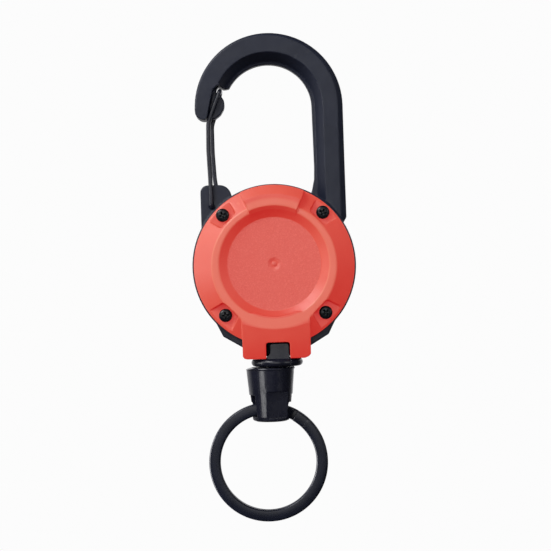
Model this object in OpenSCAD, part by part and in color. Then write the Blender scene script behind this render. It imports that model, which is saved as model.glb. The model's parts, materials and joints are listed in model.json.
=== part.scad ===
// Retractable reel with a carabiner top and a key ring.
// Frame: origin on the spool axis in the plane of the back face. The back face
// is y = 0, the front faces -Y and the carabiner is at the top (+Z).
// "Depth" means distance in front of the back face, so y = -depth.

/* [Case] */
// Radius of the orange front cover
cover_r = 20.0; // [19.8:0.05:20.2]
// Radius of the rear case, which shows as a thin rim round the cover
case_r = 20.45; // [20.3:0.05:20.7]
// How far the rim's centre lies below the spool axis
rim_drop = 0.45; // [0.3:0.05:0.5]
// Depth of the joint line between rear case and front cover
parting = 8.4; // [8.3:0.05:8.5]
// Depth of the flat crest of the cover, the frontmost surface of the case
crest = 14.0; // [13.8:0.05:14.2]
// Depth of the recessed disc in the middle of the cover
recess = 12.6; // [12.4:0.05:12.7]
// Radius of the recessed disc
recess_r = 11.6; // [11.4:0.05:12.0]
// Half spacing of the four case screws, across and up
screw_at = 12.42; // [12.35:0.01:12.5]
// Radius of a case screw head
screw_head_r = 1.65; // [1.5:0.05:1.75]

/* [Neck] */
// Width of the neck that the connector docks into
neck_w = 16.9; // [16.4:0.1:17.4]
// Height of the neck's bottom edge below the spool axis
neck_bottom = 23.5; // [23.4:0.05:23.55]
// Width of the docking notch
notch_w = 5.95; // [5.8:0.05:6.0]
// Height of the top of the docking notch below the spool axis
notch_top = 19.4; // [19.35:0.05:19.45]

/* [Carabiner] */
// Outer radius of the arch
arch_out_r = 18.55; // [18.4:0.05:18.7]
// Inner radius of the arch, the seat that hangs on a belt loop or strap
arch_in_r = 11.0; // [10.8:0.05:11.1]
// Rear depth of the carabiner
hook_back = 0.8; // [0.8:0.05:0.9]
// Front depth of the carabiner
hook_front = 8.0; // [7.9:0.05:8.1]
// Radius of the gate wire
wire_r = 0.55; // [0.5:0.01:0.56]

/* [Reel] */
// Radius of the drum that the cord winds on
drum_r = 10.0; // [9.9:0.05:10.05]
// Radius of the spool flanges
flange_r = 14.2; // [13.6:0.1:14.4]
// Radius of the cord
cord_r = 0.45; // [0.4:0.01:0.46]
// Radius of the fixed arbor that the power spring hooks on
arbor_r = 2.4; // [2.3:0.05:2.45]

/* [Connector] */
// Radius of the docking collar's flange
collar_r = 6.45; // [6.2:0.05:6.5]
// Radius of the sleeve at its top
sleeve_top_r = 6.05; // [5.9:0.05:6.1]
// Radius of the sleeve at its foot
sleeve_foot_r = 4.95; // [4.85:0.05:5.0]
// Sideways offset at which the loose sleeve hangs under the collar
hang_x = -1.8; // [-1.8:0.1:-1.4]
// Angle at which the sleeve stands about its own axis at rest
sleeve_turn = 13; // [10:1:14]
// Outer radius of the split ring
ring_r = 14.9; // [14.7:0.05:15.0]
// Width of the ring's flat wire across the ring
ring_w = 2.9; // [2.7:0.05:3.0]
// Thickness of one turn of the ring's flat wire
ring_t = 1.15; // [1.0:0.05:1.2]

/* [Hidden] */
$fn = 64;

clearance = 0.05;           // radial running clearance
cord_depth = 6.6;           // depth of the cord and connector axis

// colours shared by several nodes
cord_black = [0.12, 0.12, 0.13];
bright_grey = [0.72, 0.73, 0.75];
mid_grey = [0.70, 0.71, 0.73];
spool_grey = [0.80, 0.80, 0.78];
washer_white = [0.85, 0.85, 0.82];
sleeve_black = [0.10, 0.11, 0.14];

// --- helpers -------------------------------------------------------------

// 2D outline in x and z, extruded over a depth range
module slab(back, front) {
    rotate([90, 0, 0]) translate([0, 0, back]) linear_extrude(front - back) children();
}
// profile of radius and depth turned about an axis along Y, at = [x, z]
module lathe(at = [0, 0]) {
    translate([at[0], 0, at[1]]) rotate([90, 0, 0]) rotate_extrude($fn = 96) children();
}
// round bar along Y over a depth range, at = [x, z]
module bar(radius, back, front, at = [0, 0]) {
    translate([at[0], -back, at[1]]) rotate([90, 0, 0]) cylinder(r = radius, h = front - back);
}
// round rod between two points
module rod(start, end, radius) {
    span = end - start;
    length = norm(span);
    translate(start)
        rotate([0, acos(span[2] / length), atan2(span[1], span[0])])
            cylinder(r = radius, h = length, $fn = 32);
}
// chain of rods through points, rounded at every corner
module wire(points, radius) {
    for (i = [0 : len(points) - 2]) rod(points[i], points[i + 1], radius);
    for (i = [1 : len(points) - 2]) translate(points[i]) sphere(r = 1.03 * radius, $fn = 32);
}
// points along an arc about [x, z], both ends included
function arc(x, z, radius, start, end, steps) =
    [for (i = [0 : steps]) let (angle = start + (end - start) * i / steps)
        [x + radius * cos(angle), z + radius * sin(angle)]];
// points followed by their mirror image in reverse order; flip = sign of each column
function mirrored(points, flip) = concat(points,
    [for (i = [len(points) - 1 : -1 : 0]) [flip[0] * points[i][0], flip[1] * points[i][1]]]);
// a place on the cord's axis
module on_cord(z = 0) {
    translate([0, -cord_depth, z]) children();
}

// --- case ----------------------------------------------------------------

cavity_floor = 1.8;         // depth of the rear case's floor
hub_front = 3.9;            // front of the hub that carries spool and arbor
hub_r = 2.95;
stub_r = 1.8;               // rear stub of the arbor, and its seat
stub_back = 0.8;
edge_bevel = 0.8;           // bevel of the shoulders' and neck's back edge
screw_boss_r = 2.5;
screw_seat = crest - 2.8;   // depth of the surface under a screw head
bushing_r = 2.1;            // radius of the cord's exit bushing
bushing_bed_z = -notch_top - 0.2;
notch_x = 0.33;             // the notch sits a little to the right of the cord
notch_corner = 0.65;        // corner radius at the top of the notch in the cover

module at_screws() {
    for (sx = [-1, 1], sz = [-1, 1]) translate([sx * screw_at, 0, sz * screw_at]) children();
}
// turns what lies along +X to point at each screw
module toward_screws() {
    for (angle = [45, 135, 225, 315]) rotate([0, -angle, 0]) children();
}
module bushing_bore() {
    on_cord(bushing_bed_z) cylinder(r = bushing_r + clearance, h = 4);
}

// outline of the rear case below the disc: shoulders over the lower screws
module shoulders(inset = 0) {
    polygon([[-15.9 + inset, -12.4], [-13.25 + inset, -17.8 + inset], [-8.3, -20.75 + inset],
             [8.3, -20.75 + inset], [13.1 - inset, -17.9 + inset], [15.9 - inset, -12.4]]);
}
module neck_outline(half_w, bottom) {
    polygon([[-half_w, -12], [-half_w, -bottom + 0.75], [-half_w + 0.35, -bottom + 0.2],
             [-half_w + 1.1, -bottom], [half_w - 1.5, -bottom], [half_w - 0.5, -bottom + 0.4],
             [half_w, -bottom + 1.0], [half_w, -12]]);
}

// --- carabiner -----------------------------------------------------------

hook_mid = (hook_back + hook_front) / 2;
arch_x = -0.35;             // centre of the inside of the arch
arch_z = 39.4;
gate_front_foot = [-15.24, 14.8];   // x, z where each leg of the gate wire ends
gate_back_foot = [-13.8, 17.8];

// edge of the full-depth part of the carabiner, x and z
module hook_outline() {
    right_leg_outside = [[17.4, 9.4], [18.5, 11.2], [18.42, 25]];
    nose = [[-18.6, 38.0], [-18.2, 37.35], [-17.5, 36.8], [-16.6, 36.55], [-16.0, 36.65],
            [-15.6, 37.3], [-15.05, 40.0], [-14.06, 44.0], [-12.9, 45.1], [-12.2, 44.95],
            [-11.75, 44.55], [-11.2, 44.45]];
    right_leg_inside = [[10.85, 24.5], [10.75, 21.2], [10.2, 18.6], [9.5, 16.2], [8.4, 14]];
    polygon(concat(
        right_leg_outside,
        arc(arch_x + 0.18, 39.33, arch_out_r, 0, 181, 48),
        nose,
        arc(arch_x, arch_z, arch_in_r, 152, 0, 36),
        right_leg_inside));
}
// double cone whose rims bevel the outside of the arch, front and back
module hook_outer_bevel() {
    bulge = 1.25 * (hook_mid - hook_back);
    rim_r = arch_out_r - 0.9;
    leg_x = 17.05;
    intersection() {
        lathe([-0.6, 39.6]) polygon([[0, hook_back], [rim_r, hook_back],
            [rim_r + bulge, hook_mid], [rim_r, hook_front], [0, hook_front]]);
        translate([-30, -20, 36]) cube([60, 40, 40]);
    }
    // the same bevel carried straight down the right leg
    translate([0, 0, 5]) linear_extrude(34.6) polygon([[-30, -hook_back], [leg_x, -hook_back],
        [leg_x + bulge, -hook_mid], [leg_x, -hook_front], [-30, -hook_front]]);
}
// section inside the arch, [width, depth], with a narrow ledge halfway through
function inner_section(width) = [
    [0, hook_back - 1], [width + 2.7, hook_back - 1], [width + 1.2, hook_back],
    [width - 1.6, hook_back + 1.9], [width - 1.6, hook_back + 3.1], [width + 0.75, hook_mid],
    [width + 2.7, hook_front], [width + 3.3, hook_front + 1], [0, hook_front + 1]];
module hook_inner_bevel() {
    leg_floor = 15;
    lathe([arch_x, arch_z]) polygon(inner_section(arch_in_r));
    translate([0, 0, leg_floor]) linear_extrude(arch_z - leg_floor)
        polygon([for (point = inner_section(10.7)) [point[0], -point[1]]]);
}
module hook() {
    difference() {
        intersection() {
            slab(hook_back, hook_front) hook_outline();
            hook_outer_bevel();
        }
        // the inner bevel stops short of the nose
        difference() {
            hook_inner_bevel();
            slab(hook_back - 2, hook_front + 2)
                polygon([[-20, 30], [-13.3, 30], [-13.3, 44.4], [-12.2, 44.8], [-20, 60]]);
        }
        // true cylinder for the seat of the arch
        intersection() {
            bar(arch_in_r, -1, 10, [arch_x, arch_z]);
            translate([-10.4, -12, arch_z]) cube([22, 14, 14]);
        }
    }
    // thin tongue beside the nose that the gate wire straddles
    slab(2.7, 6.1) polygon([
        [-15.8, 37.2], [-14.6, 36.75], [-13.6, 36.9], [-12.3, 37.9], [-11.45, 39.4],
        [-11.3, 40.4], [-11.4, 41.5], [-11.9, 42.35], [-12.6, 42.75], [-13.15, 43.15],
        [-13.35, 43.8], [-13.15, 44.45], [-12.75, 44.85], [-12.3, 45.0], [-12.4, 45.4],
        [-14.4, 46.2], [-16, 42]]);
}
// tab that carries the lower ends of the gate wire
module gate_lug() {
    pocket_r = wire_r + 0.2;
    difference() {
        slab(2.6, 6.2) polygon(concat(
            [[-12, 9], [-16.5, 7.5], [-18.0, 8.6]],
            arc(-16.2, 18.45, 1.8, 180, 90, 8),
            arc(-13.2, 17.3, 2.95, 90, 5, 10),
            [[-9.9, 15.5]]));
        // running bore for the front end of the wire
        bar(wire_r + clearance, 4.6, 7, gate_front_foot);
        // oval pocket for the rear end
        bar(pocket_r, 1.5, 4.0, gate_back_foot);
        bar(pocket_r, 1.5, 4.0, [-12.78, 17.04]);
        translate([gate_back_foot[0], -4.0, gate_back_foot[1]])
            rotate([0, 36.7, 0])
                translate([0, 0, -pocket_r]) cube([1.27, 2.5, 2 * pocket_r]);
    }
}

module rear_case() color([0.16, 0.17, 0.21]) {
    difference() {
        union() {
            // drum-shaped shell with a chamfered back edge
            lathe([0, -rim_drop]) polygon([[0, 0], [case_r - 1.0, 0], [case_r, 1.0],
                                           [case_r, parting], [0, parting]]);
            slab(edge_bevel, parting) shoulders();
            slab(0, edge_bevel) shoulders(edge_bevel);
            slab(edge_bevel, parting) neck_outline(neck_w / 2 - 0.35, neck_bottom - 0.1);
            slab(0, edge_bevel) neck_outline(neck_w / 2 - 0.35 - edge_bevel, neck_bottom - 0.1);
            hook();
            gate_lug();
        }
        // cavity for the spool, with a boss left at each screw
        difference() {
            bar(case_r - 1.8, cavity_floor, parting + 1);
            at_screws() bar(screw_boss_r, 0, parting + 2);
            // journal for the spool and seat for the arbor
            bar(hub_r, 0, hub_front);
        }
        bar(stub_r, stub_back, parting);
        at_screws() bar(1.02, 2.2, parting + 1);
        // opening from the cavity down to the exit bushing
        slab(3.6, parting + 1) polygon([[-4.2, -14], [4.2, -14], [2.6, -18.2], [-2.6, -18.2]]);
        // bed of the exit bushing
        bushing_bore();
        slab(cord_depth, parting + 1)
            translate([-bushing_r - clearance, bushing_bed_z])
                square([2 * (bushing_r + clearance), 4]);
        // docking notch
        slab(1.0, parting + 1)
            translate([notch_x - notch_w / 2, -neck_bottom - 1])
                square([notch_w, neck_bottom + 1 - notch_top]);
        // shallow groove on the back face
        lathe() polygon([[13.6, -1], [14.4, -1], [14.4, 0.4], [13.6, 0.4]]);
    }
}

// recessed seat round a screw: a flat cut into the outer cone
module screw_pad() {
    slab(screw_seat, crest + 3) polygon(mirrored(
        [[15.45, -2.1], [15.6, -2.45], [15.9, -2.7], [19.2, -3.65], [22, -4.4]], [1, -1]));
}
// raised tab at the top of the cover
module top_tab() {
    intersection() {
        lathe() polygon([[12.0, 10.5], [12.0, recess + 0.15], [14.4, crest + 0.65],
                         [17.2, crest + 0.65], [cover_r + 0.5, crest - 1.65],
                         [cover_r + 0.5, 10.5]]);
        bar(cover_r, 10, 16, [0, -rim_drop]);
        slab(10, 16) polygon(mirrored(
            [[-5.2, 11], [-6.35, 14], [-7.4, 16.2], [-8.4, 19], [-8.6, 22]], [-1, 1]));
    }
}
module cover_shell() {
    slope_end_r = recess_r + 2.2;
    difference() {
        lathe([0, -rim_drop]) polygon([[0, parting], [cover_r, parting], [cover_r, crest - 3.2],
                                       [15.3, crest], [0, crest]]);
        lathe() polygon([[0, recess], [recess_r, recess], [slope_end_r, crest],
                         [slope_end_r, crest + 2], [0, crest + 2]]);
    }
}
// neck with a front face that falls away towards its foot
module cover_neck() {
    intersection() {
        slab(parting, crest) neck_outline(neck_w / 2, neck_bottom);
        lathe([0, 9]) polygon([[0, parting - 1], [34, parting - 1], [34, crest - 2.3],
                               [25.05, crest], [0, crest]]);
        difference() {
            translate([-20, -20, -40]) cube([40, 20, 40]);
            bar(13.0, 0, 20);
        }
    }
}
// space under the cover, leaving screw bosses, a middle boss, pads and the neck
module cover_hollow() {
    hollow_r = cover_r - 1.5;
    difference() {
        lathe() polygon([[0, parting - 1], [hollow_r, parting - 1], [hollow_r, crest - 3.9],
                         [15.0, crest - 1.6], [13.7, crest - 1.6], [12.6, recess - 1.5],
                         [0, recess - 1.5]]);
        at_screws() bar(screw_boss_r, 0, 12);
        bar(2.8, 10.5, 12);
        toward_screws() slab(crest - 4.2, 20) polygon(mirrored(
            [[14.4, -3.0], [15.2, -4.1], [19.2, -5.0], [22, -5.6]], [1, -1]));
        slab(0, 20) polygon([[-8, -18.0], [8, -18.0], [8, -30], [-8, -30]]);
    }
}
module front_cover() color([0.91, 0.35, 0.27]) {
    difference() {
        union() {
            cover_shell();
            top_tab();
            cover_neck();
        }
        cover_hollow();
        // socket for the front end of the arbor
        bar(1.45, 10, 11.6);
        // screw seats and holes
        toward_screws() screw_pad();
        at_screws() bar(1.1, 5, 20);
        // room for the exit bushing and docking notch
        bushing_bore();
        translate([notch_x, 0, 0]) slab(5, 20) polygon(mirrored(concat(
            [[-notch_w / 2, -neck_bottom - 1], [-notch_w / 2, -notch_top - 0.8]],
            arc(-notch_w / 2 + notch_corner, -notch_top - notch_corner, notch_corner,
                180, 90, 6)), [-1, 1]));
        // dimple in the middle of the disc
        translate([0, -recess - 2.6, 0]) sphere(r = 3.05);
    }
    // pip in the dimple
    bar(0.5, 11.9, recess - 0.1);
}

module case_screws() color([0.10, 0.10, 0.12]) at_screws() {
    difference() {
        union() {
            lathe() polygon([[0, screw_seat], [screw_head_r, screw_seat],
                             [screw_head_r, screw_seat + 0.55],
                             [screw_head_r - 0.25, screw_seat + 0.85],
                             [screw_head_r - 0.8, screw_seat + 1.05], [0, screw_seat + 1.1]]);
            bar(1.0, 3.2, screw_seat + 0.1);
        }
        // cross recess
        for (angle = [20, 110]) rotate([0, angle, 0])
            translate([-0.95, -screw_seat - 2, -0.2]) cube([1.9, 1.4, 0.4]);
    }
}

// --- reel ----------------------------------------------------------------

flange_back = 2.4;          // depths of the spool's rear flange
flange_front = 3.6;
drum_front = 9.0;
arbor_front = 10.4;         // depth of the arbor's front shoulder
drum_bore_r = drum_r - 0.7;
coil_r = drum_r + 1.55;     // outside of the wound cord
anchor_r = drum_r + 0.95;   // where the cord's inner end passes the front flange

module arbor() color(mid_grey) difference() {
    overlap = 0.01;
    union() {
        bar(stub_r, stub_back, hub_front + overlap);
        bar(arbor_r, hub_front, arbor_front);
        bar(1.4, arbor_front - overlap, 11.4);
    }
    // slot that takes the inner end of the power spring
    translate([-0.2, -8.8, -3]) cube([0.4, 4.6, 6]);
}

// flat ring over a depth range
module washer(inner_r, outer_r, back, front) {
    lathe() polygon([[inner_r, back], [outer_r, back], [outer_r, front], [inner_r, front]]);
}
module thrust_washer() color(washer_white) washer(3.05, 6.5, cavity_floor, 2.35);
module top_washer() color(washer_white) washer(arbor_r + 0.05, 5.0, 9.97, 10.37);
module spool_bushing() color([0.78, 0.62, 0.30])
    washer(hub_r + clearance, 4.2, 2.45, flange_front);
module spring_cover() color(bright_grey) washer(arbor_r + 0.3, drum_r - 0.4, drum_front, 9.5);

module spool() color(spool_grey) difference() {
    union() {
        lathe() polygon([[0, flange_back], [flange_r - 0.3, flange_back],
                         [flange_r, flange_back + 0.3], [flange_r, flange_front - 0.3],
                         [flange_r - 0.3, flange_front], [0, flange_front]]);
        lathe() polygon([[0, 3.5], [drum_r, 3.5], [drum_r, drum_front], [0, drum_front]]);
    }
    bar(drum_bore_r, flange_front, 10);
    bar(4.2, 0, 5);
    // notch in the drum wall for the outer end of the spring
    translate([drum_r - 0.75, -8.6, -0.2]) cube([0.4, 4.4, 1.2]);
}

// turns to the direction of the cord's inner end
module toward_anchor() {
    rotate([0, -120, 0]) children();
}
module spool_flange() color(spool_grey) difference() {
    lip_r = drum_r - 1.4;
    step_r = drum_r - 0.38;
    lathe() polygon([[step_r, drum_front], [flange_r - 0.3, drum_front], [flange_r, 9.2],
                     [flange_r, 9.6], [flange_r - 0.3, 9.9], [lip_r, 9.9], [lip_r, 9.52],
                     [step_r, 9.52]]);
    toward_anchor() bar(cord_r + 0.05, 8, 11, [anchor_r, 0]);
}

// spiral of the power spring: loose from the arbor, then packed on the drum wall
spring_turns = 9.5;
loose_turns = 1.5;
spring_in = 2.12;
loose_rise = 3.9;           // radius gained over the loose turns
spring_out = drum_bore_r - 0.16;
steps_per_turn = 24;
function spring_radius(turn) = turn < loose_turns
    ? spring_in + loose_rise * pow(turn / loose_turns, 0.85)
    : spring_in + loose_rise + (spring_out - spring_in - loose_rise)
        * (turn - loose_turns) / (spring_turns - loose_turns);
// one side of the strip, offset from its middle line
function spring_side(offset, steps) =
    [for (i = steps) let (turn = i / steps_per_turn, radius = spring_radius(turn) + offset)
        [radius * cos(360 * turn), radius * sin(360 * turn)]];
module power_spring() color([0.55, 0.57, 0.62]) {
    first = 7;
    last = floor(spring_turns * steps_per_turn);
    half_t = 0.11;
    // the first two points and the last two are the inner end, hooked through
    // the slot of the arbor
    slab(4.25, 8.55) polygon(concat(
        [[half_t, -1.5], [half_t, 2.5]],
        spring_side(half_t, [first : last]),
        spring_side(-half_t, [last : -1 : first]),
        [[-half_t, 2.42], [-half_t, -1.5]]));
}

module cord_coil() color(cord_black) {
    // solid core of the winding, then the outermost turns
    lathe() union() {
        translate([drum_r + 0.02, 3.66]) square([1.05, 5.26]);
        for (i = [0 : 5])
            translate([coil_r - cord_r - 0.02, 4.09 + 0.88 * i]) circle(r = cord_r, $fn = 24);
    }
    // end that passes forward through the flange to the crimp
    toward_anchor() bar(cord_r, 8.5, 10.5, [anchor_r, 0]);
}
// crimp on the cord's inner end
module cord_anchor() color(bright_grey) toward_anchor() difference() {
    bar(0.85, 9.92, 10.75, [anchor_r, 0]);
    bar(cord_r + 0.01, 9, 10.52, [anchor_r, 0]);
}

// taut length of cord, tangent from the coil to the exit bushing
cord_top = 16.2;            // height below the spool axis where it enters the bushing
lead_r = coil_r + cord_r + 0.02;
lead_angle = -90 + acos(lead_r / cord_top);
module cord_lead() color(cord_black) difference() {
    rod([lead_r * cos(lead_angle), -cord_depth, lead_r * sin(lead_angle)],
        [0, -cord_depth, -cord_top], cord_r);
    translate([-5, -10, -cord_top - 5]) cube([10, 8, 5]);
}
module exit_bushing() color(mid_grey) on_cord() difference() {
    foot_z = -19.3;
    bore_r = cord_r + 0.2;
    union() {
        translate([0, 0, foot_z]) cylinder(r = bushing_r, h = 2.9);
        translate([0, 0, foot_z]) cylinder(r = 1.5, h = 3.0);
    }
    // bore, flared at the top and at the foot
    translate([0, 0, -20]) cylinder(r = bore_r, h = 5);
    translate([0, 0, -17.3]) cylinder(r1 = bore_r, r2 = 1.5, h = 1.02);
    translate([0, 0, foot_z - 0.02]) cylinder(r1 = 1.2, r2 = bore_r, h = 0.6);
}

// --- connector -----------------------------------------------------------

collar_foot_z = -25.55;
rim_round = 0.97;           // radius of the collar's full-round rim
tongue_x = 0.68;            // middle of the collar's tongue
tongue_w = 4.7;
tongue_corner = 0.6;
tongue_ahead = 5.0;         // reach of the tongue in front of the cord
tongue_depth = 10.2;

module collar_flange() {
    difference() {
        rotate_extrude($fn = 96) union() {
            translate([0, collar_foot_z]) square([collar_r - rim_round, 2 * rim_round]);
            translate([collar_r - rim_round, collar_foot_z + rim_round])
                circle(r = rim_round, $fn = 32);
        }
        // thinner to the left, below and above
        slab(-8, 8) polygon([[-3.0, -25.6], [-8, -25.15], [-8, -27], [-3.0, -27]]);
        slab(-8, 8) polygon([[-3.4, -23.5], [-3.4, -23.65], [-8, -23.95], [-8, -23.5]]);
        // slit in the front of the rim
        translate([3.2, -7.5, -26]) cube([0.35, 2.4, 3]);
    }
}
module collar() color([0.13, 0.14, 0.17]) on_cord() difference() {
    corner_x = tongue_w / 2 - tongue_corner;
    union() {
        collar_flange();
        // flat docking tongue with rounded top corners
        translate([tongue_x - tongue_w / 2, -tongue_ahead, -24.2])
            cube([tongue_w, tongue_depth, 4.0]);
        translate([tongue_x - corner_x, -tongue_ahead, -20.6])
            cube([2 * corner_x, tongue_depth, 0.8]);
        for (side = [-1, 1])
            translate([tongue_x + side * corner_x, tongue_depth - tongue_ahead, -20.4])
                rotate([90, 0, 0]) cylinder(r = tongue_corner, h = tongue_depth, $fn = 32);
        // root of the tongue, swept out to the left
        slab(-5.2, tongue_ahead) polygon([
            [0, -21.4], [-1.67, -21.4], [-1.75, -22.1], [-2.0, -22.6], [-2.5, -22.95],
            [-2.5, -23.55], [-3.4, -23.62], [-3.4, -24.2], [3.18, -24.2], [3.18, -22.7],
            [3.03, -22.3], [0, -22.3]]);
    }
    // bore of the cord and counterbore for its ferrule
    translate([0, 0, -26]) cylinder(r = cord_r + 0.1, h = 8);
    translate([0, 0, -26]) cylinder(r = 1.6, h = 2.4);
}
module cord_ferrule() color(bright_grey) on_cord(-25.4) difference() {
    cylinder(r = 1.4, h = 1.7);
    translate([0, 0, -1]) cylinder(r = cord_r + 0.01, h = 4);
}
// cord from the exit bushing down through the collar
module cord_line() color(cord_black) {
    foot_z = -25.38;
    on_cord(foot_z) cylinder(r = cord_r, h = -foot_z - cord_top - 0.02, $fn = 32);
}
// cord from the collar across to the offset sleeve
module cord_end() color(cord_black) difference() {
    wire([[0, -cord_depth, -25.0], [0, -cord_depth, -25.45],
          [hang_x, -cord_depth, -28.4], [hang_x, -cord_depth, -29.3]], cord_r);
    translate([-2, -cord_depth - 2, -25.4]) cube([4, 4, 2]);
}
module cord_stop() color(bright_grey) translate([hang_x, -cord_depth, -30.45]) difference() {
    sphere(r = 1.2);
    cylinder(r = cord_r + 0.01, h = 3);
}

ring_cx = hang_x - 1.1;     // the ring hangs a little further over
ring_cz = -34.65 - ring_r;
ring_in_r = ring_r - ring_w;
swing_z = -36.1;            // height of the axis the ring swings about
eye_half_w = 2.6;           // half width of the sleeve's eye

// what is drawn on the sleeve's own axis, stood at its resting angle and offset
module on_sleeve() {
    translate([hang_x, -cord_depth, 0]) rotate([0, 0, sleeve_turn]) children();
}
module sleeve_body() on_sleeve() difference() {
    foot_z = -39.3;
    top_z = -25.78;
    union() {
        rotate_extrude($fn = 96) polygon([
            [0, foot_z], [sleeve_foot_r - 1.2, foot_z], [sleeve_foot_r - 0.35, -38.95],
            [sleeve_foot_r, -38.1], [sleeve_top_r - 0.05, -26.35],
            [sleeve_top_r + 0.2, -26.15], [sleeve_top_r, top_z], [0, top_z]]);
    }
    // flats, front and back
    for (angle = [7, 187]) rotate([0, 0, angle])
        translate([-4, 0, 0]) rotate([90, 0, 90]) linear_extrude(8)
            polygon([[-4.74, -31.7], [-9, -31.7], [-9, -38.5], [-4.15, -38.5]]);
    // pocket for the insert and the cord stop
    translate([0, 0, -29.3]) cylinder(r = 4.6, h = 5);
    translate([0, 0, -31.9]) cylinder(r = 1.9, h = 5);
    // eye for the ring
    translate([-8, -eye_half_w, -38.0]) cube([16, 2 * eye_half_w, 5.4]);
}
// radius the ring sweeps at x from the sleeve's axis
function swing_reach(x) =
    let (drop = swing_z - ring_cz - sqrt(pow(ring_in_r, 2) - pow(x - (ring_cx - hang_x), 2)))
    norm([drop, ring_t - 0.15]) + 0.15;
// room the ring needs as it swings about the bar of the eye
module swing_room() {
    left = -7.5;
    right = 5.5;
    intersection() {
        translate([hang_x, -cord_depth, swing_z]) rotate([0, 90, 0]) rotate_extrude($fn = 96)
            polygon(concat([[0, left]], [for (x = [left : right]) [swing_reach(x), x]],
                           [[0, right]]));
        translate([-20, -20, -45]) cube([40, 40, 10.45]);
    }
}
module sleeve() color(sleeve_black) difference() {
    sleeve_body();
    swing_room();
    // rim dips to the left
    slab(-2, 15) polygon([[hang_x - 6.6, -26.35], [hang_x - 3.6, -25.7],
                          [hang_x - 3.6, -25], [hang_x - 6.6, -25]]);
}
// plug in the top of the sleeve, with a mouth flared for the cord
module sleeve_insert() color(sleeve_black) on_sleeve() difference() {
    bore_r = cord_r + 0.25;
    translate([0, 0, -29.25]) cylinder(r = 4.58, h = 3.55);
    translate([0, 0, -30]) cylinder(r = bore_r, h = 5);
    translate([0, 0, -28.4]) cylinder(r1 = bore_r, r2 = 2.7, h = 2.72);
}

// part of the ring: a section of radius and depth swept from a start angle
module ring_sweep(start, sweep) {
    translate([ring_cx, 0, ring_cz]) rotate([0, -start, 0]) rotate([90, 0, 0])
        rotate_extrude(angle = sweep, $fn = 96) children();
}
// one flat turn with chamfered edges, from the depth of its rear face
module ring_turn(back, start, end) {
    chamfer = 0.25;
    front = back + ring_t;
    ring_sweep(start, end - start) polygon([
        [ring_in_r + chamfer, back], [ring_r - chamfer, back],
        [ring_r, back + chamfer], [ring_r, front - chamfer],
        [ring_r - chamfer, front], [ring_in_r + chamfer, front],
        [ring_in_r, front - chamfer], [ring_in_r, back + chamfer]]);
}
// two flat turns of one wire, joined where the wire steps from turn to turn
module split_ring() color([0.09, 0.10, 0.12]) {
    half_gap = 0.03;
    ring_turn(cord_depth + half_gap, 58, 416);
    ring_turn(cord_depth - half_gap - ring_t, 80, 438);
    ring_sweep(62, 14)
        translate([ring_in_r + 0.3, cord_depth - 0.3]) square([ring_w - 0.6, 0.6]);
}

// --- gate ----------------------------------------------------------------

// one wire, up the front leg, across the top and down the rear leg
module wire_gate() color([0.14, 0.15, 0.18]) {
    front = -6.85;          // y of each leg
    back = -1.95;
    wire([[gate_front_foot[0], -4.8, gate_front_foot[1]],
          [gate_front_foot[0], front, gate_front_foot[1]],
          [-15.36, front, 22], [-15.6, front, 28.9], [-15.45, front, 35.7],
          [-14.95, front, 37.4], [-12.33, front, 43.86],
          [-12.33, back, 43.86], [-14.1, back, 37.4], [-14.75, back, 35.4],
          [-14.75, back, 28.9], [-14.42, back, 22],
          [gate_back_foot[0], back, gate_back_foot[1]],
          [gate_back_foot[0], -3.7, gate_back_foot[1]]], wire_r);
}

rear_case();
front_cover();
case_screws();
arbor();
thrust_washer();
top_washer();
exit_bushing();
cord_lead();
spool();
spool_bushing();
spool_flange();
spring_cover();
power_spring();
cord_coil();
cord_anchor();
collar();
cord_ferrule();
cord_line();
cord_end();
cord_stop();
sleeve();
sleeve_insert();
split_ring();
wire_gate();
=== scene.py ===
"""Carabiner with a cord reel, hanging upright.

The gate wire is at the top, the round case in the middle, and the connector, sleeve and
split ring hang below on the cord. +Z is up, the back face is at y = 0 and the front faces -Y.
Shapes are drawn in millimetres and scaled by MM; lights, floor and camera are in metres.
"""
import bpy, bmesh, json, math
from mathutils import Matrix, Quaternion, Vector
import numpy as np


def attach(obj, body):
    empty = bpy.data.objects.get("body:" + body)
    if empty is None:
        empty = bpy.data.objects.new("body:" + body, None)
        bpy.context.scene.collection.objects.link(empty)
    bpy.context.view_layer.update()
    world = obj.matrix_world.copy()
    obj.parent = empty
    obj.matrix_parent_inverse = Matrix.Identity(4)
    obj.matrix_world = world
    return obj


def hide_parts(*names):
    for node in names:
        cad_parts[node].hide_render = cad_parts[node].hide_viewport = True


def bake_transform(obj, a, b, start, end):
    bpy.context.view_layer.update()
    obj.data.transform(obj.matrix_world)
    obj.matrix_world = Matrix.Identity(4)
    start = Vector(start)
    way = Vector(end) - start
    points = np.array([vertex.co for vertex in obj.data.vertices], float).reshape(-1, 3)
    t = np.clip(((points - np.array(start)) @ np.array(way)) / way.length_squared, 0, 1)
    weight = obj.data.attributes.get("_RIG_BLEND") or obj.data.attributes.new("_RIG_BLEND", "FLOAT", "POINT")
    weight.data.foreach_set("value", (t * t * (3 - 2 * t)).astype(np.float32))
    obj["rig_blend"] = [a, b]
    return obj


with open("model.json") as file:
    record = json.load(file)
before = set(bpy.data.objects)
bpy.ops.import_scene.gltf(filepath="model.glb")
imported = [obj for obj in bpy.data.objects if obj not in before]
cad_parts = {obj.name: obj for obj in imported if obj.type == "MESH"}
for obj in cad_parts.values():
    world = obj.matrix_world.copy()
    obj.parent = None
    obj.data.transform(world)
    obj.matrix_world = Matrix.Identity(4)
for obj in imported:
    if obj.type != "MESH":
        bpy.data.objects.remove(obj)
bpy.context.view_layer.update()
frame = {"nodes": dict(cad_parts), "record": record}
MM = 0.001
HANG_Y = -6.6               # plane of the pulled cord and of the split ring's middle
scene = bpy.context.scene


# ---------------------------------------------------------------- node graphs

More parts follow.
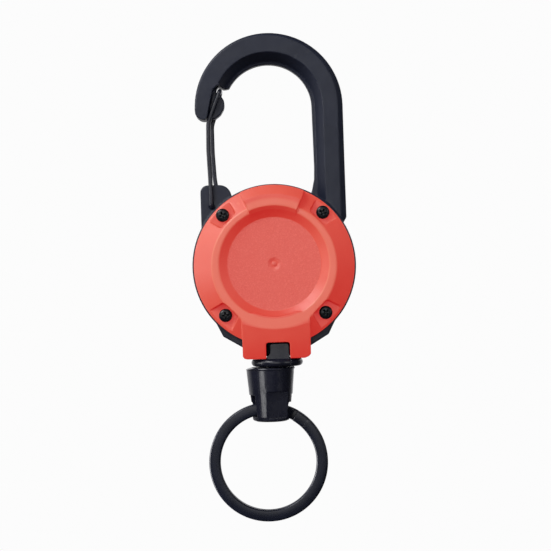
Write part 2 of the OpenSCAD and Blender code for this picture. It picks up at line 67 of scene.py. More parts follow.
class Graph:
    """Shortcuts for building a node tree. Values may be numbers, colours or sockets."""
    def __init__(self, tree):
        self.tree = tree
        tree.nodes.clear()

    def put(self, socket, value):
        if isinstance(value, bpy.types.NodeSocket):
            self.tree.links.new(value, socket)
        else:
            socket.default_value = value

    def fill(self, node, **inputs):
        """Sets inputs by name, with _ for a space."""
        for name, value in inputs.items():
            self.put(node.inputs[name.replace("_", " ")], value)

    def node(self, kind, **inputs):
        node = self.tree.nodes.new("ShaderNode" + kind)
        self.fill(node, **inputs)
        return node

    def math(self, operation, *values):
        node = self.node("Math")
        node.operation = operation
        for socket, value in zip(node.inputs, values):
            self.put(socket, value)
        return node.outputs[0]

    def times(self, first, second):
        return self.math("MULTIPLY", first, second)

    def plus(self, first, second):
        return self.math("ADD", first, second)

    def ramp(self, value, start, end, low=0.0, high=1.0):
        """Maps value smoothly from start..end to low..high."""
        node = self.node("MapRange", Value=value, From_Min=start, From_Max=end,
                         To_Min=low, To_Max=high)
        node.interpolation_type = "SMOOTHSTEP"
        return node.outputs[0]

    def split(self, vector):
        return self.node("SeparateXYZ", Vector=vector).outputs

    def mix_shader(self, amount, first, second):
        node = self.node("MixShader")
        for socket, value in zip(node.inputs, (amount, first, second)):
            self.put(socket, value)
        return node.outputs[0]

    def camera_ray(self):
        return self.node("LightPath").outputs["Is Camera Ray"]


class Material(Graph):
    """A Principled material with textures laid out in object millimetres."""
    def __init__(self, name):
        self.material = bpy.data.materials.new(name)
        self.material.use_nodes = True
        super().__init__(self.material.node_tree)
        self.output = self.node("OutputMaterial")
        self.surface = self.node("BsdfPrincipled")
        self.put(self.output.inputs[0], self.surface.outputs[0])
        place = self.node("TexCoord").outputs["Object"]
        self.place_mm = self.node("Mapping", Vector=place, Scale=(1000, 1000, 1000)).outputs[0]

    def set(self, **inputs):
        self.fill(self.surface, **inputs)

    def math(self, operation, *values):
        """A math node with its spare inputs at zero."""
        return super().math(operation, *values, *[0.0] * (3 - len(values)))

    def xyz(self):
        return self.split(self.place_mm)

    def distance(self, first, second):
        squares = self.plus(self.times(first, first), self.times(second, second))
        return self.math("SQRT", squares)

    def geometry(self, output):
        return self.node("NewGeometry").outputs[output]

    def noise(self, scale, detail=3.0, roughness=0.55, distortion=0.0):
        return self.node("TexNoise", Scale=scale, Detail=detail, Roughness=roughness,
                         Distortion=distortion, Vector=self.place_mm).outputs[0]

    def mottle(self, scale, detail=3.0, low=0.0, high=1.0):
        """Noise with its middle range spread over low..high."""
        return self.ramp(self.noise(scale, detail), 0.3, 0.7, low, high)

    def mix(self, amount, under, over, strength=None):
        if strength is not None:
            amount = self.times(amount, strength)
        node = self.node("Mix")
        node.data_type = "RGBA"
        for index, value in ((0, amount), (6, under), (7, over)):
            self.put(node.inputs[index], value)
        return node.outputs[2]

    def bump(self, height, distance, strength=1.0, **normal):
        """Relief of the given height map; distance is in metres."""
        return self.node("Bump", Height=height, Distance=distance, Strength=strength,
                         **normal).outputs[0]


def display(*channels):
    """8-bit display colour to scene-linear RGBA."""
    def linear(value):
        value /= 255.0
        return value / 12.92 if value <= 0.04045 else ((value + 0.055) / 1.055) ** 2.4
    return tuple(linear(value) for value in channels) + (1.0,)


def shade(colour, factor):
    return tuple(channel * factor for channel in colour[:3]) + (1,)


# ---------------------------------------------------------------- materials

def cover_material():
    """Fluorescent orange plastic, grained on the disc in the recess, with a painted red glow, painted edge
    highlights and painted shade in grooves, on the recess wall and towards the foot of the neck.
    """
    mat = Material("cover_orange_plastic")
    x, y, z = mat.xyz()
    radius = mat.distance(x, z)
    pointiness = mat.geometry("Pointiness")
    front = mat.ramp(y, start=-12.2, end=-12.45)
    disc = mat.times(mat.ramp(radius, start=11.7, end=11.4), front)
    # flat top of the crest around the recess
    crest = mat.times(mat.ramp(radius, start=16.6, end=15.6),
                      mat.ramp(radius, start=13.3, end=13.7))
    crest = mat.times(mat.ramp(y, start=-13.72, end=-13.9), crest)
    # slow shade drift of the moulding, paler disc and crest
    base = mat.mix(mat.ramp(mat.noise(scale=0.09, detail=2.0), start=0.35, end=0.65),
                   (0.395, 0.140, 0.088, 1), (0.425, 0.156, 0.100, 1))
    base = mat.mix(disc, base, over=(0.375, 0.182, 0.135, 1))
    base = mat.mix(crest, base, over=(0.455, 0.250, 0.160, 1))
    # fine speckle, stronger on the disc
    speckle = mat.ramp(mat.noise(scale=3.2, detail=2.0), start=0.45, end=0.75)
    base = mat.mix(speckle, base, over=(0.52, 0.30, 0.22, 1),
                   strength=mat.plus(mat.times(disc, 0.45), 0.08))
    # patchy wear on raised edges, lightened further as a painted edge highlight; painted shade darkens the
    # grooves
    patches = mat.ramp(mat.noise(scale=0.8, detail=4.0), start=0.30, end=0.62, low=0.35)
    worn = mat.times(mat.ramp(pointiness, start=0.515, end=0.60), patches)
    # painted highlight: the lighter colour on raised edges stands in for edge highlights as well as wear
    base = mat.mix(worn, base, over=(0.50, 0.26, 0.17, 1), strength=0.30)
    # painted shade: grooves and creases darkened towards deep red
    base = mat.mix(mat.ramp(pointiness, start=0.485, end=0.40), base,
                   over=(0.26, 0.05, 0.035, 1), strength=0.45)
    # painted shade: darker colour on the steep recess wall above and below the disc, and towards the foot of
    # the neck
    steep = mat.math("ABSOLUTE", mat.split(mat.geometry("Normal"))[2])
    wall = mat.times(mat.ramp(radius, start=14.7, end=14.3),
                     mat.ramp(radius, start=11.2, end=11.7))
    wall = mat.times(mat.ramp(steep, start=0.25, end=0.60), wall)
    # strength of the painted shade
    depth = 0.62
    painted_shade = mat.math("MAXIMUM", mat.times(wall, depth),
                    mat.times(mat.ramp(z, start=-17.0, end=-23.4), depth))
    base = mat.mix(painted_shade, base, over=(0.36, 0.070, 0.045, 1))
    # fine relief everywhere, coarse grain on the disc
    fine = mat.bump(mat.noise(scale=7.0, roughness=0.6), distance=0.000012, strength=0.55)
    cells = mat.node("TexVoronoi", Scale=2.6, Vector=mat.place_mm).outputs["Distance"]
    grain = mat.plus(mat.noise(scale=2.3, detail=2.0, roughness=0.5), mat.times(cells, 0.35))
    relief = mat.bump(grain, distance=0.000105, strength=disc, Normal=fine)
    rough = mat.plus(mat.mottle(scale=0.5, detail=4.0, low=0.33, high=0.43),
                     mat.times(disc, 0.10))
    # painted glow: a steady red emission seen only by the camera, brightening the orange; weaker in grooves
    # and where the painted shade lies
    painted_glow = mat.times(mat.ramp(pointiness, start=0.38, end=0.50, low=0.72), 0.485)
    painted_glow = mat.times(painted_glow, mat.math("SUBTRACT", 1.0, mat.times(painted_shade, 0.04)))
    mat.set(Base_Color=base, Roughness=rough, IOR=1.55, Normal=relief,
            Emission_Strength=mat.times(painted_glow, mat.camera_ray()),
            Emission_Color=(1.0, 0.006, 0.012, 1))
    return mat.material


def black_plastic(name, dark, light, rough, grain_depth, grain_scale, wear):
    """Grained black plastic with patchy worn edges and a little dust."""
    mat = Material(name)
    base = mat.mix(mat.mottle(scale=0.12, detail=2.0), dark, light)
    patches = mat.ramp(mat.noise(scale=0.9, detail=4.0), start=0.35, end=0.65, low=0.25)
    worn = mat.times(mat.ramp(mat.geometry("Pointiness"), start=0.515, end=0.60), patches)
    base = mat.mix(worn, base, over=(0.12, 0.125, 0.14, 1), strength=wear)
    dust = mat.ramp(mat.noise(scale=1.9, detail=6.0, roughness=0.7), start=0.60, end=0.80)
    base = mat.mix(dust, base, over=(0.20, 0.20, 0.20, 1), strength=0.05)
    grain = mat.plus(mat.noise(grain_scale, detail=2.0, roughness=0.5),
                     mat.times(mat.noise(grain_scale * 3.1, detail=2.0), 0.4))
    mat.set(Base_Color=base, IOR=1.5, Normal=mat.bump(grain, grain_depth),
            Roughness=mat.mottle(scale=0.35, detail=4.0, low=rough - 0.05, high=rough + 0.05))
    return mat.material


def coated_metal(name, coating, rough, wear, specular=0.5, coat=0.15):
    """Black coated metal, worn to steel in patches along its edges."""
    mat = Material(name)
    edge = mat.ramp(mat.geometry("Pointiness"), start=0.525, end=0.64)
    patches = mat.ramp(mat.noise(scale=1.3, detail=5.0, roughness=0.65), start=0.50, end=0.72)
    worn = mat.times(mat.times(edge, patches), wear)
    base = mat.mix(mat.mottle(scale=0.3), coating, shade(coating, 1.35))
    base = mat.mix(worn, base, over=(0.30, 0.30, 0.31, 1))
    peel = mat.noise(scale=5.0, detail=2.0, roughness=0.5)
    scratch = mat.noise(scale=3.0, detail=6.0, roughness=0.75, distortion=1.5)
    relief = mat.bump(mat.plus(peel, mat.times(scratch, 0.3)), distance=0.000004)
    roughness = mat.ramp(scratch, start=0.35, end=0.7, low=rough - 0.04, high=rough + 0.07)
    mat.set(Base_Color=base, Metallic=mat.times(worn, 0.9), IOR=1.55, Normal=relief,
            Roughness=mat.plus(roughness, mat.times(worn, 0.1)),
            Specular_IOR_Level=specular, Coat_Weight=coat, Coat_Roughness=0.25)
    return mat.material


def bare_metal(name, colour, rough, turned=True):
    """Bare metal with turning rings about the Y axis, or with plain noise."""
    mat = Material(name)
    if turned:
        x, _, z = mat.xyz()
        marks = mat.math("SINE", mat.times(mat.distance(x, z), 55.0))
    else:
        marks = mat.noise(scale=6.0)
    relief = mat.plus(mat.times(marks, 0.5), mat.noise(scale=9.0))
    mat.set(Base_Color=mat.mix(mat.mottle(scale=0.8, detail=4.0), colour, shade(colour, 0.82)),
            Metallic=1.0, Normal=mat.bump(relief, distance=0.000003, strength=0.8),
            Roughness=mat.mottle(scale=1.5, detail=4.0, low=rough - 0.06, high=rough + 0.08))
    return mat.material


def nylon_material():
    mat = Material("natural_nylon")
    base = mat.mix(mat.mottle(scale=0.25), display(214, 212, 200), display(228, 226, 216))
    mat.set(Base_Color=base,
            Roughness=mat.mottle(scale=0.8, detail=4.0, low=0.40, high=0.52),
            Normal=mat.bump(mat.noise(scale=6.0), distance=0.000008, strength=0.7),
            Subsurface_Weight=0.2, Subsurface_Radius=(1, 0.9, 0.8), Subsurface_Scale=0.0006)
    return mat.material


def cord_material():
    """Dark braid: two crossing families of plaits with loose fibres."""
    mat = Material("braided_cord")
    x, _, z = mat.xyz()
    slope, pitch = 1.2, 9.0             # slant of the plaits, radians of wave per mm
    waves = [mat.math("SINE", mat.times(mat.math(lean, z, mat.times(x, slope)), pitch))
             for lean in ("ADD", "SUBTRACT")]
    plait = mat.math("MAXIMUM", *waves)
    fibre = mat.noise(scale=14.0, roughness=0.7)
    base = mat.mix(mat.ramp(plait, start=-0.3, end=0.9),
                   display(18, 18, 20), display(52, 52, 56))
    base = mat.mix(mat.ramp(fibre, start=0.5, end=0.8), base, over=display(90, 90, 94),
                   strength=0.3)
    mat.set(Base_Color=base, Roughness=0.78, Sheen_Weight=0.25,
            Normal=mat.bump(mat.plus(plait, fibre), distance=0.00003, strength=0.9))
    return mat.material


def floor_material():
    """Pale floor, partly self-lit for the camera, that fades out with distance."""
    mat = Material("pale_floor")
    x, y, _ = mat.xyz()
    mat.set(Base_Color=mat.mix(mat.noise(scale=0.004),
                               (0.84, 0.84, 0.84, 1), (0.88, 0.88, 0.88, 1)),
            Roughness=0.9, Emission_Color=(1, 1, 1, 1),
            Emission_Strength=mat.times(mat.camera_ray(), 0.46))
    fade = mat.ramp(mat.distance(x, y), start=700.0, end=2000.0)
    clear = mat.node("BsdfTransparent").outputs[0]
    mat.put(mat.output.inputs[0], mat.mix_shader(fade, mat.surface.outputs[0], clear))
    return mat.material


# one material for each slot
MATERIALS = {
    "cover": cover_material(),
    "casing": black_plastic(
        "casing_black_plastic", dark=(0.0125, 0.0165, 0.0360, 1),
        light=(0.0155, 0.0200, 0.0430, 1), rough=0.46, grain_depth=0.000012,
        grain_scale=5.0, wear=0.16),
    "connector": black_plastic(
        "connector_black_plastic", dark=(0.0105, 0.0115, 0.0230, 1),
        light=(0.0130, 0.0140, 0.0270, 1), rough=0.27, grain_depth=0.000003,
        grain_scale=4.0, wear=0.10),
    "gate_wire": coated_metal("gate_wire_black", (0.012, 0.014, 0.026, 1),
                              rough=0.34, wear=0.30),
    "ring": coated_metal("ring_black_oxide", (0.0058, 0.0070, 0.0140, 1),
                         rough=0.22, wear=0.25, specular=0.29, coat=0.04),
    "screws": coated_metal("screw_black", (0.006, 0.007, 0.010, 1),
                           rough=0.22, wear=0.25, specular=0.3),
    "steel": bare_metal("turned_steel", display(168, 170, 174), rough=0.30),
    "spring_steel": bare_metal("spring_steel", display(110, 114, 126), rough=0.28,
                               turned=False),
    "brass": bare_metal("turned_brass", display(200, 164, 92), rough=0.28),
    "nylon": nylon_material(),
    "cord": cord_material(),
}


def dress_cad_parts():
    for part in frame["record"]["subparts"]:
        obj = frame["nodes"][part["node"]]
        if not obj.material_slots:
            obj.data.materials.append(None)
        for slot in obj.material_slots:
            slot.link = "OBJECT"
            slot.material = MATERIALS[part["material_slot"]]


# ---------------------------------------------------------------- mesh tools

def new_object(name, mesh, material):
    mesh.name = name
    obj = bpy.data.objects.new(name, mesh)
    scene.collection.objects.link(obj)
    mesh.materials.clear()
    mesh.materials.append(material)
    return obj


def bmesh_object(name, bm, material, turn_outward=True):
    """Turns a bmesh into an object and frees it."""
    if turn_outward:
        bmesh.ops.recalc_face_normals(bm, faces=bm.faces)
    mesh = bpy.data.meshes.new(name)
    bm.to_mesh(mesh)
    bm.free()
    return new_object(name, mesh, material)


def smooth_all(mesh):
    mesh.polygons.foreach_set("use_smooth", [True] * len(mesh.polygons))
    mesh.update()


def apply_modifiers(obj):
    bpy.context.view_layer.update()
    depsgraph = bpy.context.evaluated_depsgraph_get()
    mesh = bpy.data.meshes.new_from_object(
        obj.evaluated_get(depsgraph), preserve_all_data_layers=False, depsgraph=depsgraph)
    old = obj.data
    obj.modifiers.clear()
    obj.data = mesh
    bpy.data.meshes.remove(old)


def cad_copy(name, node, material):
    """A free copy of a CAD node's mesh, welded into one closed skin."""
    mesh = frame["nodes"][node].data.copy()
    bm = bmesh.new()
    bm.from_mesh(mesh)
    bmesh.ops.remove_doubles(bm, verts=bm.verts, dist=0.5e-6)
    bm.to_mesh(mesh)
    bm.free()
    topology = (".corner_vert", ".corner_edge")
    spare = [layer.name for layer in mesh.attributes if layer.name.startswith("UV")
             or (layer.domain == "CORNER" and layer.name not in topology)]
    for layer_name in spare:
        # guards layers that are locked or that went with an earlier one
        try:
            mesh.attributes.remove(mesh.attributes[layer_name])
        except Exception:
            pass
    return new_object(name, mesh, material)


def mould(obj, voxel, relax, keep):
    """Remeshes crisp geometry into a skin with softly rounded edges.

    voxel is in metres, relax counts smoothing passes, keep is the share of faces kept.
    """
    skin = obj.modifiers.new("skin", "REMESH")
    skin.mode = "VOXEL"
    skin.voxel_size = voxel * 1.0
    skin.adaptivity = 0.0
    skin.use_smooth_shade = True
    smooth = obj.modifiers.new("relax", "SMOOTH")
    smooth.factor = 0.5
    smooth.iterations = relax
    obj.modifiers.new("thin", "DECIMATE").ratio = keep
    apply_modifiers(obj)
    smooth_all(obj.data)


def round_ends(obj, width, segments):
    """Bevels the sharp edges at the ends of a wire."""
    bevel = obj.modifiers.new("ends", "BEVEL")
    bevel.width = width * MM
    bevel.segments = segments
    bevel.limit_method = "ANGLE"
    bevel.angle_limit = math.radians(60)
    apply_modifiers(obj)
    smooth_all(obj.data)


def stand_for(obj, body, slot, *nodes):
    """Gives the object its slot's material and puts it in place of the CAD nodes."""
    obj.data.materials.clear()
    obj.data.materials.append(MATERIALS[slot])
    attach(obj, body)
    if nodes:
        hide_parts(*nodes)


def moulded_skin(name, node, body, slot, **moulding):
    obj = cad_copy(name, node, MATERIALS[slot])
    mould(obj, **moulding)
    stand_for(obj, body, slot, node)
    return obj


def bridge(bm, rings):
    """Joins each ring of vertices to the next; a ring of one vertex is a pole."""
    for first, second in zip(rings, rings[1:]):
        count = max(len(first), len(second))
        for k in range(count):
            j = (k + 1) % count
            if len(first) == 1:
                bm.faces.new((first[0], second[k], second[j]))
            elif len(second) == 1:
                bm.faces.new((first[k], first[j], second[0]))
            else:
                bm.faces.new((first[k], first[j], second[j], second[k]))


def cap_ends(bm, rings):
    bm.faces.new(rings[0][::-1])
    bm.faces.new(rings[-1])


def rounded_path(points, radius, steps):
    """Points with every corner turned into a short curve."""
    path = [points[0]]
    for before, corner, after in zip(points, points[1:], points[2:]):
        reach = min(radius, (before - corner).length * 0.48, (after - corner).length * 0.48)
        start = corner + (before - corner).normalized() * reach
        end = corner + (after - corner).normalized() * reach
        for k in range(steps + 1):
            t = k / steps
            path.append(start * (1 - t) ** 2 + corner * 2 * t * (1 - t) + end * t * t)
    path.append(points[-1])
    return path


def subdivide_path(points, step):
    path = [points[0]]
    for start, end in zip(points, points[1:]):
        count = max(1, int((end - start).length / step))
        path += [start.lerp(end, (k + 1) / count) for k in range(count)]
    return path


def sweep(name, path, radius, sides, material):
    """Round wire along a path in metres, with a frame that does not twist."""
    radius *= MM
    section = [(radius * math.cos(2 * math.pi * k / sides),
                radius * math.sin(2 * math.pi * k / sides)) for k in range(sides)]
    last = len(path) - 1
    tangents = [(path[min(last, i + 1)] - path[max(0, i - 1)]).normalized()
                for i in range(last + 1)]
    up = Vector((0, 1, 0)) if abs(tangents[0].y) < 0.9 else Vector((1, 0, 0))
    side = tangents[0].cross(up).normalized()
    bm = bmesh.new()
    rings = []
    for i, (point, tangent) in enumerate(zip(path, tangents)):
        if i:
            side = tangents[i - 1].rotation_difference(tangent) @ side
            side = (side - tangent * side.dot(tangent)).normalized()
        across = side.cross(tangent).normalized()
        rings.append([bm.verts.new(point + (side * x + across * y)) for x, y in section])
    bridge(bm, rings)
    cap_ends(bm, rings)
    obj = bmesh_object(name, bm, material)
    smooth_all(obj.data)
    return obj


# ---------------------------------------------------------------- screws

SCREW_SEAT = 11.2           # depth of the underside of the head, in front of the back face
SCREW_OFFSET = 12.42        # from the case centre, both across and up
# side across, side up, turn of the cross recess in degrees
SCREWS = ((-1, 1, 22), (1, 1, 64), (-1, -1, 8), (1, -1, 41))
# radius, height above the seat
SCREW_HEAD = ((0.82, -0.3), (0.95, 0.01), (1.5, 0.01), (1.62, 0.08), (1.65, 0.2), (1.65, 0.45),
              (1.60, 0.66), (1.45, 0.86), (1.2, 1.00), (0.8, 1.08), (0.4, 1.105), (0, 1.11))
# height above the seat, half length, half width of each arm of the recess
RECESS = ((0.2, 0.42, 0.13), (1.4, 1.12, 0.25))


def screw_blank(x, z, sides=72):
    """Turned screw without its recess, from the tip forwards."""
    profile = [(0, 3.3), (0.55, 3.35), (0.8, 3.7)]      # radius, depth
    depth = 3.9
    while depth < SCREW_SEAT - 0.9:                     # ridges of the shank
        profile += [(0.80, depth), (1.0, depth + 0.12), (1.0, depth + 0.2), (0.80, depth + 0.34)]
        depth += 0.45
    profile += [(radius, SCREW_SEAT + height) for radius, height in SCREW_HEAD]
    bm = bmesh.new()
    rings = []
    for radius, depth in profile:
        angles = [2 * math.pi * k / sides for k in range(sides if radius else 1)]
        rings.append([bm.verts.new(((x + radius * math.cos(angle)) * MM, -depth * MM,
                                    (z + radius * math.sin(angle)) * MM)) for angle in angles])
    bridge(bm, rings)
    return bmesh_object("screw", bm, MATERIALS["screws"])


def recess_cutter(x, z, angle):
    """Tapered bar, one arm of the cross."""
    along = Vector((math.cos(angle), 0, math.sin(angle)))
    across = Vector((-math.sin(angle), 0, math.cos(angle)))
    bm = bmesh.new()
    rings = []
    for height, half_length, half_width in RECESS:
        centre = Vector((x, -(SCREW_SEAT + height), z))
        rings.append([bm.verts.new((centre + along * i * half_length + across * j * half_width)
                                   * MM) for i, j in ((-1, -1), (1, -1), (1, 1), (-1, 1))])
    cap_ends(bm, rings)
    bridge(bm, rings)
    return bmesh_object("cut", bm, MATERIALS["screws"])


def build_screw(x, z, spin):
    screw = screw_blank(x, z)
    cutters = [recess_cutter(x, z, angle) for angle in (spin, spin + math.pi / 2)]
    for cutter in cutters:
        cut = screw.modifiers.new("cut", "BOOLEAN")
        cut.operation = "DIFFERENCE"
        cut.solver = "EXACT"
        cut.object = cutter
    apply_modifiers(screw)
    for cutter in cutters:
        bpy.data.objects.remove(cutter)
    return screw


def build_screw_set():
    screws = [build_screw(i * SCREW_OFFSET, j * SCREW_OFFSET, math.radians(turn))
              for i, j, turn in SCREWS]
    bm = bmesh.new()
    for screw in screws:
        bm.from_mesh(screw.data)
        bpy.data.objects.remove(screw)
    screw_set = bmesh_object("case_screw_set", bm, MATERIALS["screws"], turn_outward=False)
    mould(screw_set, voxel=0.000045, relax=2, keep=0.45)
    stand_for(screw_set, "case", "screws", "case_screws")


# ---------------------------------------------------------------- gate wire

GATE_FRONT, GATE_BACK = -6.85, -1.95        # y of the front and back legs
# x, y, z of the corners: up the front leg, across the top, down the back leg
GATE_CORNERS = (
    (-15.24, -4.8, 14.8), (-15.24, GATE_FRONT, 14.8), (-15.36, GATE_FRONT, 22),
    (-15.6, GATE_FRONT, 28.9), (-15.45, GATE_FRONT, 35.7), (-14.95, GATE_FRONT, 37.4),
    (-12.33, GATE_FRONT, 43.86), (-12.33, GATE_BACK, 43.86), (-14.1, GATE_BACK, 37.4),
    (-14.75, GATE_BACK, 35.4), (-14.75, GATE_BACK, 28.9), (-14.42, GATE_BACK, 22),
    (-13.8, GATE_BACK, 17.8), (-13.8, -3.7, 17.8))


def build_gate():
    corners = [Vector(corner) * MM for corner in GATE_CORNERS]
    path = subdivide_path(rounded_path(corners, radius=0.9 * MM, steps=8), step=0.8 * MM)
    gate = sweep("gate_wire_loop", path, radius=0.55, sides=28, material=MATERIALS["gate_wire"])
    round_ends(gate, width=0.12, segments=3)
    stand_for(gate, "gate", "gate_wire", "wire_gate")


# ---------------------------------------------------------------- split ring

RING_CENTRE = Vector((-2.9, 0, -49.55))
RING_OUTER = 14.9
RING_WIDTH, RING_LAYER = 2.9, 1.15          # flat wire: radial width, thickness along Y
RING_CORNER = 0.50
RING_GAP = 0.02                             # half the gap between the layers
RING_START, RING_SWEEP = 58.5, 718.0        # degrees: where the wire starts, how far it runs
STEP_START, STEP_LENGTH = 344.0, 13.0       # degrees along the wire of the change of layer
RING_STEPS = 560


def ring_section():
    """Rounded rectangle of the flat wire, as (radial, forward) points."""
    reach_x = RING_WIDTH / 2 - RING_CORNER
    reach_y = RING_LAYER / 2 - RING_CORNER
    section = []
    for i, j, start in ((1, 1, 0), (-1, 1, 90), (-1, -1, 180), (1, -1, 270)):
        for k in range(6):
            angle = math.radians(start + 90 * k / 5)
            section.append((i * reach_x + RING_CORNER * math.cos(angle),
                            j * reach_y + RING_CORNER * math.sin(angle)))
    return section


def build_ring():
    """Nearly two turns of one flat wire, stepping from the front layer to the back one."""
    section = ring_section()
    forward = Vector((0, -1, 0))
    bm = bmesh.new()
    rings = []
    for i in range(RING_STEPS + 1):
        run = i / RING_STEPS * RING_SWEEP
        angle = math.radians(RING_START - run)
        step = min(1.0, max(0.0, (run - STEP_START) / STEP_LENGTH))
        step = step * step * (3 - 2 * step)
        offset = (1 - 2 * step) * (RING_LAYER / 2 + RING_GAP)
        radial = Vector((math.cos(angle), 0, math.sin(angle)))
        centre = (RING_CENTRE + radial * (RING_OUTER - RING_WIDTH / 2)
                  + Vector((0, HANG_Y - offset, 0)))
        rings.append([bm.verts.new((centre + radial * x + forward * y) * MM)
                      for x, y in section])
    bridge(bm, rings)
    cap_ends(bm, rings)
    ring = bmesh_object("split_ring_wire", bm, MATERIALS["ring"])
    round_ends(ring, width=0.17, segments=2)
    stand_for(ring, "ring", "ring", "split_ring")
    return ring


# ---------------------------------------------------------------- cord

WRAPS, WRAP_STEPS = 6, 60                   # wraps in a layer, path points in a wrap
WRAP_PITCH = 0.868
WRAP_FIRST = 4.11                           # depth of the rearmost wrap
WRAP_LAST = WRAP_FIRST + (WRAPS - 1) * WRAP_PITCH
WRAP_RADIUS = 10.0 + 0.47                   # hub radius and the cord's stand-off
LAYER_RISE = 0.62
WOUND_RADIUS = 0.44                         # of the cord itself, on the spool
TAIL_ANGLE, TAIL_REACH = math.radians(120), 10.95


def build_pulled_cord():
    """Straight cord between the case and the connector."""
    path = [Vector((0, HANG_Y, -16.22 - 9.14 * k / 80)) * MM for k in range(81)]
    strand = sweep("pulled_cord", path, radius=0.45, sides=20, material=MATERIALS["cord"])
    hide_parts("cord_line")
    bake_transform(strand, "case", "connector", start=(0, -0.0066, -0.0166),
             end=(0, -0.0066, -0.0246))


def build_wound_cord():
    """Two layers as one helix, forwards then back, and a tail running forwards."""
    path = []
    for layer in range(2):
        radius = WRAP_RADIUS + LAYER_RISE * layer
        for k in range(WRAPS * WRAP_STEPS):
            turn = k / WRAP_STEPS
            wrap = turn if layer == 0 else WRAPS - turn - 1
            depth = min(max(WRAP_FIRST + WRAP_PITCH * wrap, WRAP_FIRST), WRAP_LAST)
            angle = math.radians(-60) + 2 * math.pi * (turn + WRAPS * layer)
            path.append(Vector((radius * math.cos(angle), -depth, radius * math.sin(angle))) * MM)
    wound = sweep("wound_cord", path, WOUND_RADIUS, sides=12, material=MATERIALS["cord"])
    x, z = TAIL_REACH * math.cos(TAIL_ANGLE), TAIL_REACH * math.sin(TAIL_ANGLE)
    path = [Vector((x, -8.5 - 0.25 * k, z)) * MM for k in range(9)]
    tail = sweep("cord_tail", path, WOUND_RADIUS, sides=16, material=MATERIALS["cord"])
    stand_for(wound, "spool", "cord", "cord_coil")
    stand_for(tail, "spool", "cord")


# ---------------------------------------------------------------- floor, light, camera

def build_floor():
    bm = bmesh.new()
    bmesh.ops.create_circle(bm, cap_ends=True, segments=96, radius=2.2)
    floor = bmesh_object("floor", bm, floor_material(), turn_outward=False)
    floor.location = (0, 0, -0.74)
    # the camera sees the floor, but it throws no light up at the object
    floor.visible_diffuse = False
    floor.visible_glossy = False


# brightness of the surroundings: everywhere, and added from above, behind and the left
AMBIENT, AMBIENT_UP, AMBIENT_BACK, AMBIENT_LEFT = 0.035, 0.05, 0.95, 0.0


def build_world():
    """Even pale backdrop for the camera; dim light, paler above and bright behind."""
    world = bpy.data.worlds.new("studio")
    scene.world = world
    world.use_nodes = True
    sky = Graph(world.node_tree)
    x, y, z = sky.split(sky.node("TexCoord").outputs["Generated"])
    level = sky.plus(sky.ramp(z, start=-0.15, end=0.85, high=AMBIENT_UP), AMBIENT)
    back = sky.times(sky.ramp(y, start=0.45, end=0.95, high=AMBIENT_BACK),
                     sky.ramp(z, start=-0.60, end=-0.10))
    left = sky.times(sky.ramp(x, start=0.1, end=-0.7, high=AMBIENT_LEFT),
                     sky.ramp(z, start=-0.6, end=0.0))
    level = sky.plus(sky.plus(level, back), left)
    ambient = sky.node("Background", Color=(1.0, 0.99, 1.02, 1), Strength=level)
    backdrop = sky.node("Background", Color=(0.973, 0.973, 0.973, 1))
    mixed = sky.mix_shader(sky.camera_ray(), ambient.outputs[0], backdrop.outputs[0])
    sky.put(sky.node("OutputWorld").inputs[0], mixed)


def softbox(name, azimuth, elevation, distance, width, height, radiance, receivers=None,
            color=(1, 1, 1)):
    """Panel aimed at the origin, at degrees right of the camera and degrees up.

    With receivers, it lights those objects alone.
    """
    light = bpy.data.lights.new(name, "AREA")
    light.shape = "RECTANGLE"
    light.size, light.size_y = width, height
    light.energy = radiance * math.pi * width * height
    light.color = color
    panel = bpy.data.objects.new(name, light)
    scene.collection.objects.link(panel)
    turn, rise = math.radians(azimuth), math.radians(elevation)
    place = Vector((distance * math.cos(rise) * math.sin(turn),
                    -distance * math.cos(rise) * math.cos(turn), distance * math.sin(rise)))
    panel.location = place
    panel.rotation_mode = "QUATERNION"
    panel.rotation_quaternion = (-place).to_track_quat("-Z", "Y")
    panel.visible_camera = False
    if receivers:
        group = bpy.data.collections.new(name + "_receivers")
        for obj in receivers:
            group.objects.link(obj)
        panel.light_linking.receiver_collection = group


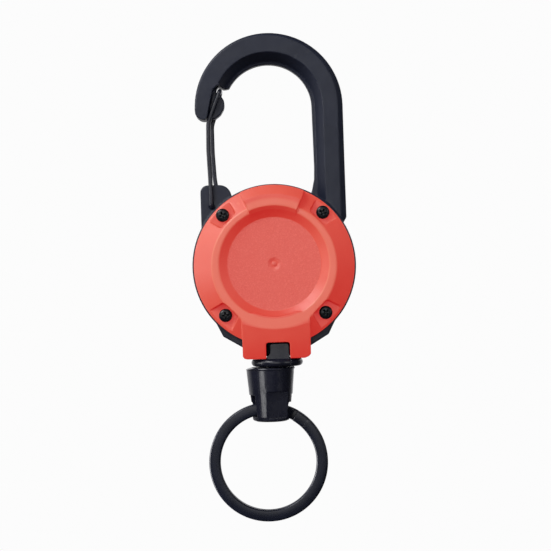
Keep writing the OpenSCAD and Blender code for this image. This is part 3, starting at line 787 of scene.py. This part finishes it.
def build_lights(sleeve, insert, ring):
    swivel = [sleeve, insert]
    others = [obj for obj in bpy.data.objects if obj.type == "MESH" and obj not in swivel]
    softbox("left_strip", -80, 8, 0.65, 0.20, 0.60, radiance=4.1, receivers=others,
            color=(1.0, 0.995, 0.985))
    # name, azimuth, elevation, distance, width, height, radiance, receivers
    for panel in (
            ("front_panel", -10, 14, 0.80, 0.60, 0.55, 1.06),
            ("camera_panel", 0, 0, 0.80, 0.30, 0.30, 0.60),
            ("upper_left_panel", -45, 40, 0.75, 0.35, 0.35, 6.9),
            ("right_panel", 45, 10, 0.75, 0.25, 0.50, 1.6),
            ("back_panel", 150, 30, 0.75, 0.50, 0.50, 1.4),
            # upright highlight on the sleeve, bright rims of the ring
            ("low_left_strip", -42, -19, 0.75, 0.25, 0.34, 5.6, swivel),
            ("far_left_panel", -122, -6, 0.60, 0.24, 0.60, 0.5, swivel),
            ("left_rim_panel", -80, -8, 0.60, 0.40, 0.60, 12.0, [ring])):
        softbox(*panel)


def build_camera():
    distance, view_width, sensor = 0.40, 0.13775, 36.0      # view width is at that distance
    data = bpy.data.cameras.new("camera")
    camera = bpy.data.objects.new("camera", data)
    scene.collection.objects.link(camera)
    data.sensor_width = sensor
    data.lens = sensor * distance / view_width
    data.clip_start, data.clip_end = 0.01, 20
    camera.location = (0.00024, -0.008 - distance, -0.0029)
    camera.rotation_mode = "QUATERNION"
    level = Quaternion((1, 0, 0), math.radians(90))
    camera.rotation_quaternion = level @ Quaternion((0, 0, 1), math.radians(-1.75))
    scene.camera = camera


# ---------------------------------------------------------------- build

dress_cad_parts()
moulded_skin("rear_case_skin", "rear_case", "case", "casing",
             voxel=0.00017, relax=5, keep=0.30)
moulded_skin("front_cover_skin", "front_cover", "case", "cover",
             voxel=0.00013, relax=5, keep=0.30)
build_screw_set()
build_gate()
moulded_skin("docking_collar_skin", "collar", "connector", "connector",
             voxel=0.00007, relax=4, keep=0.35)
sleeve = moulded_skin("swivel_sleeve_skin", "sleeve", "sleeve", "connector",
                      voxel=0.00008, relax=4, keep=0.30)
insert = moulded_skin("sleeve_insert_skin", "sleeve_insert", "sleeve", "connector",
                      voxel=0.00008, relax=3, keep=0.4)
ring = build_ring()
build_pulled_cord()
build_wound_cord()
build_floor()
build_world()
build_lights(sleeve, insert, ring)
scene.view_settings.view_transform = "Standard"
scene.view_settings.look = "None"
scene.view_settings.exposure = 0.0
build_camera()
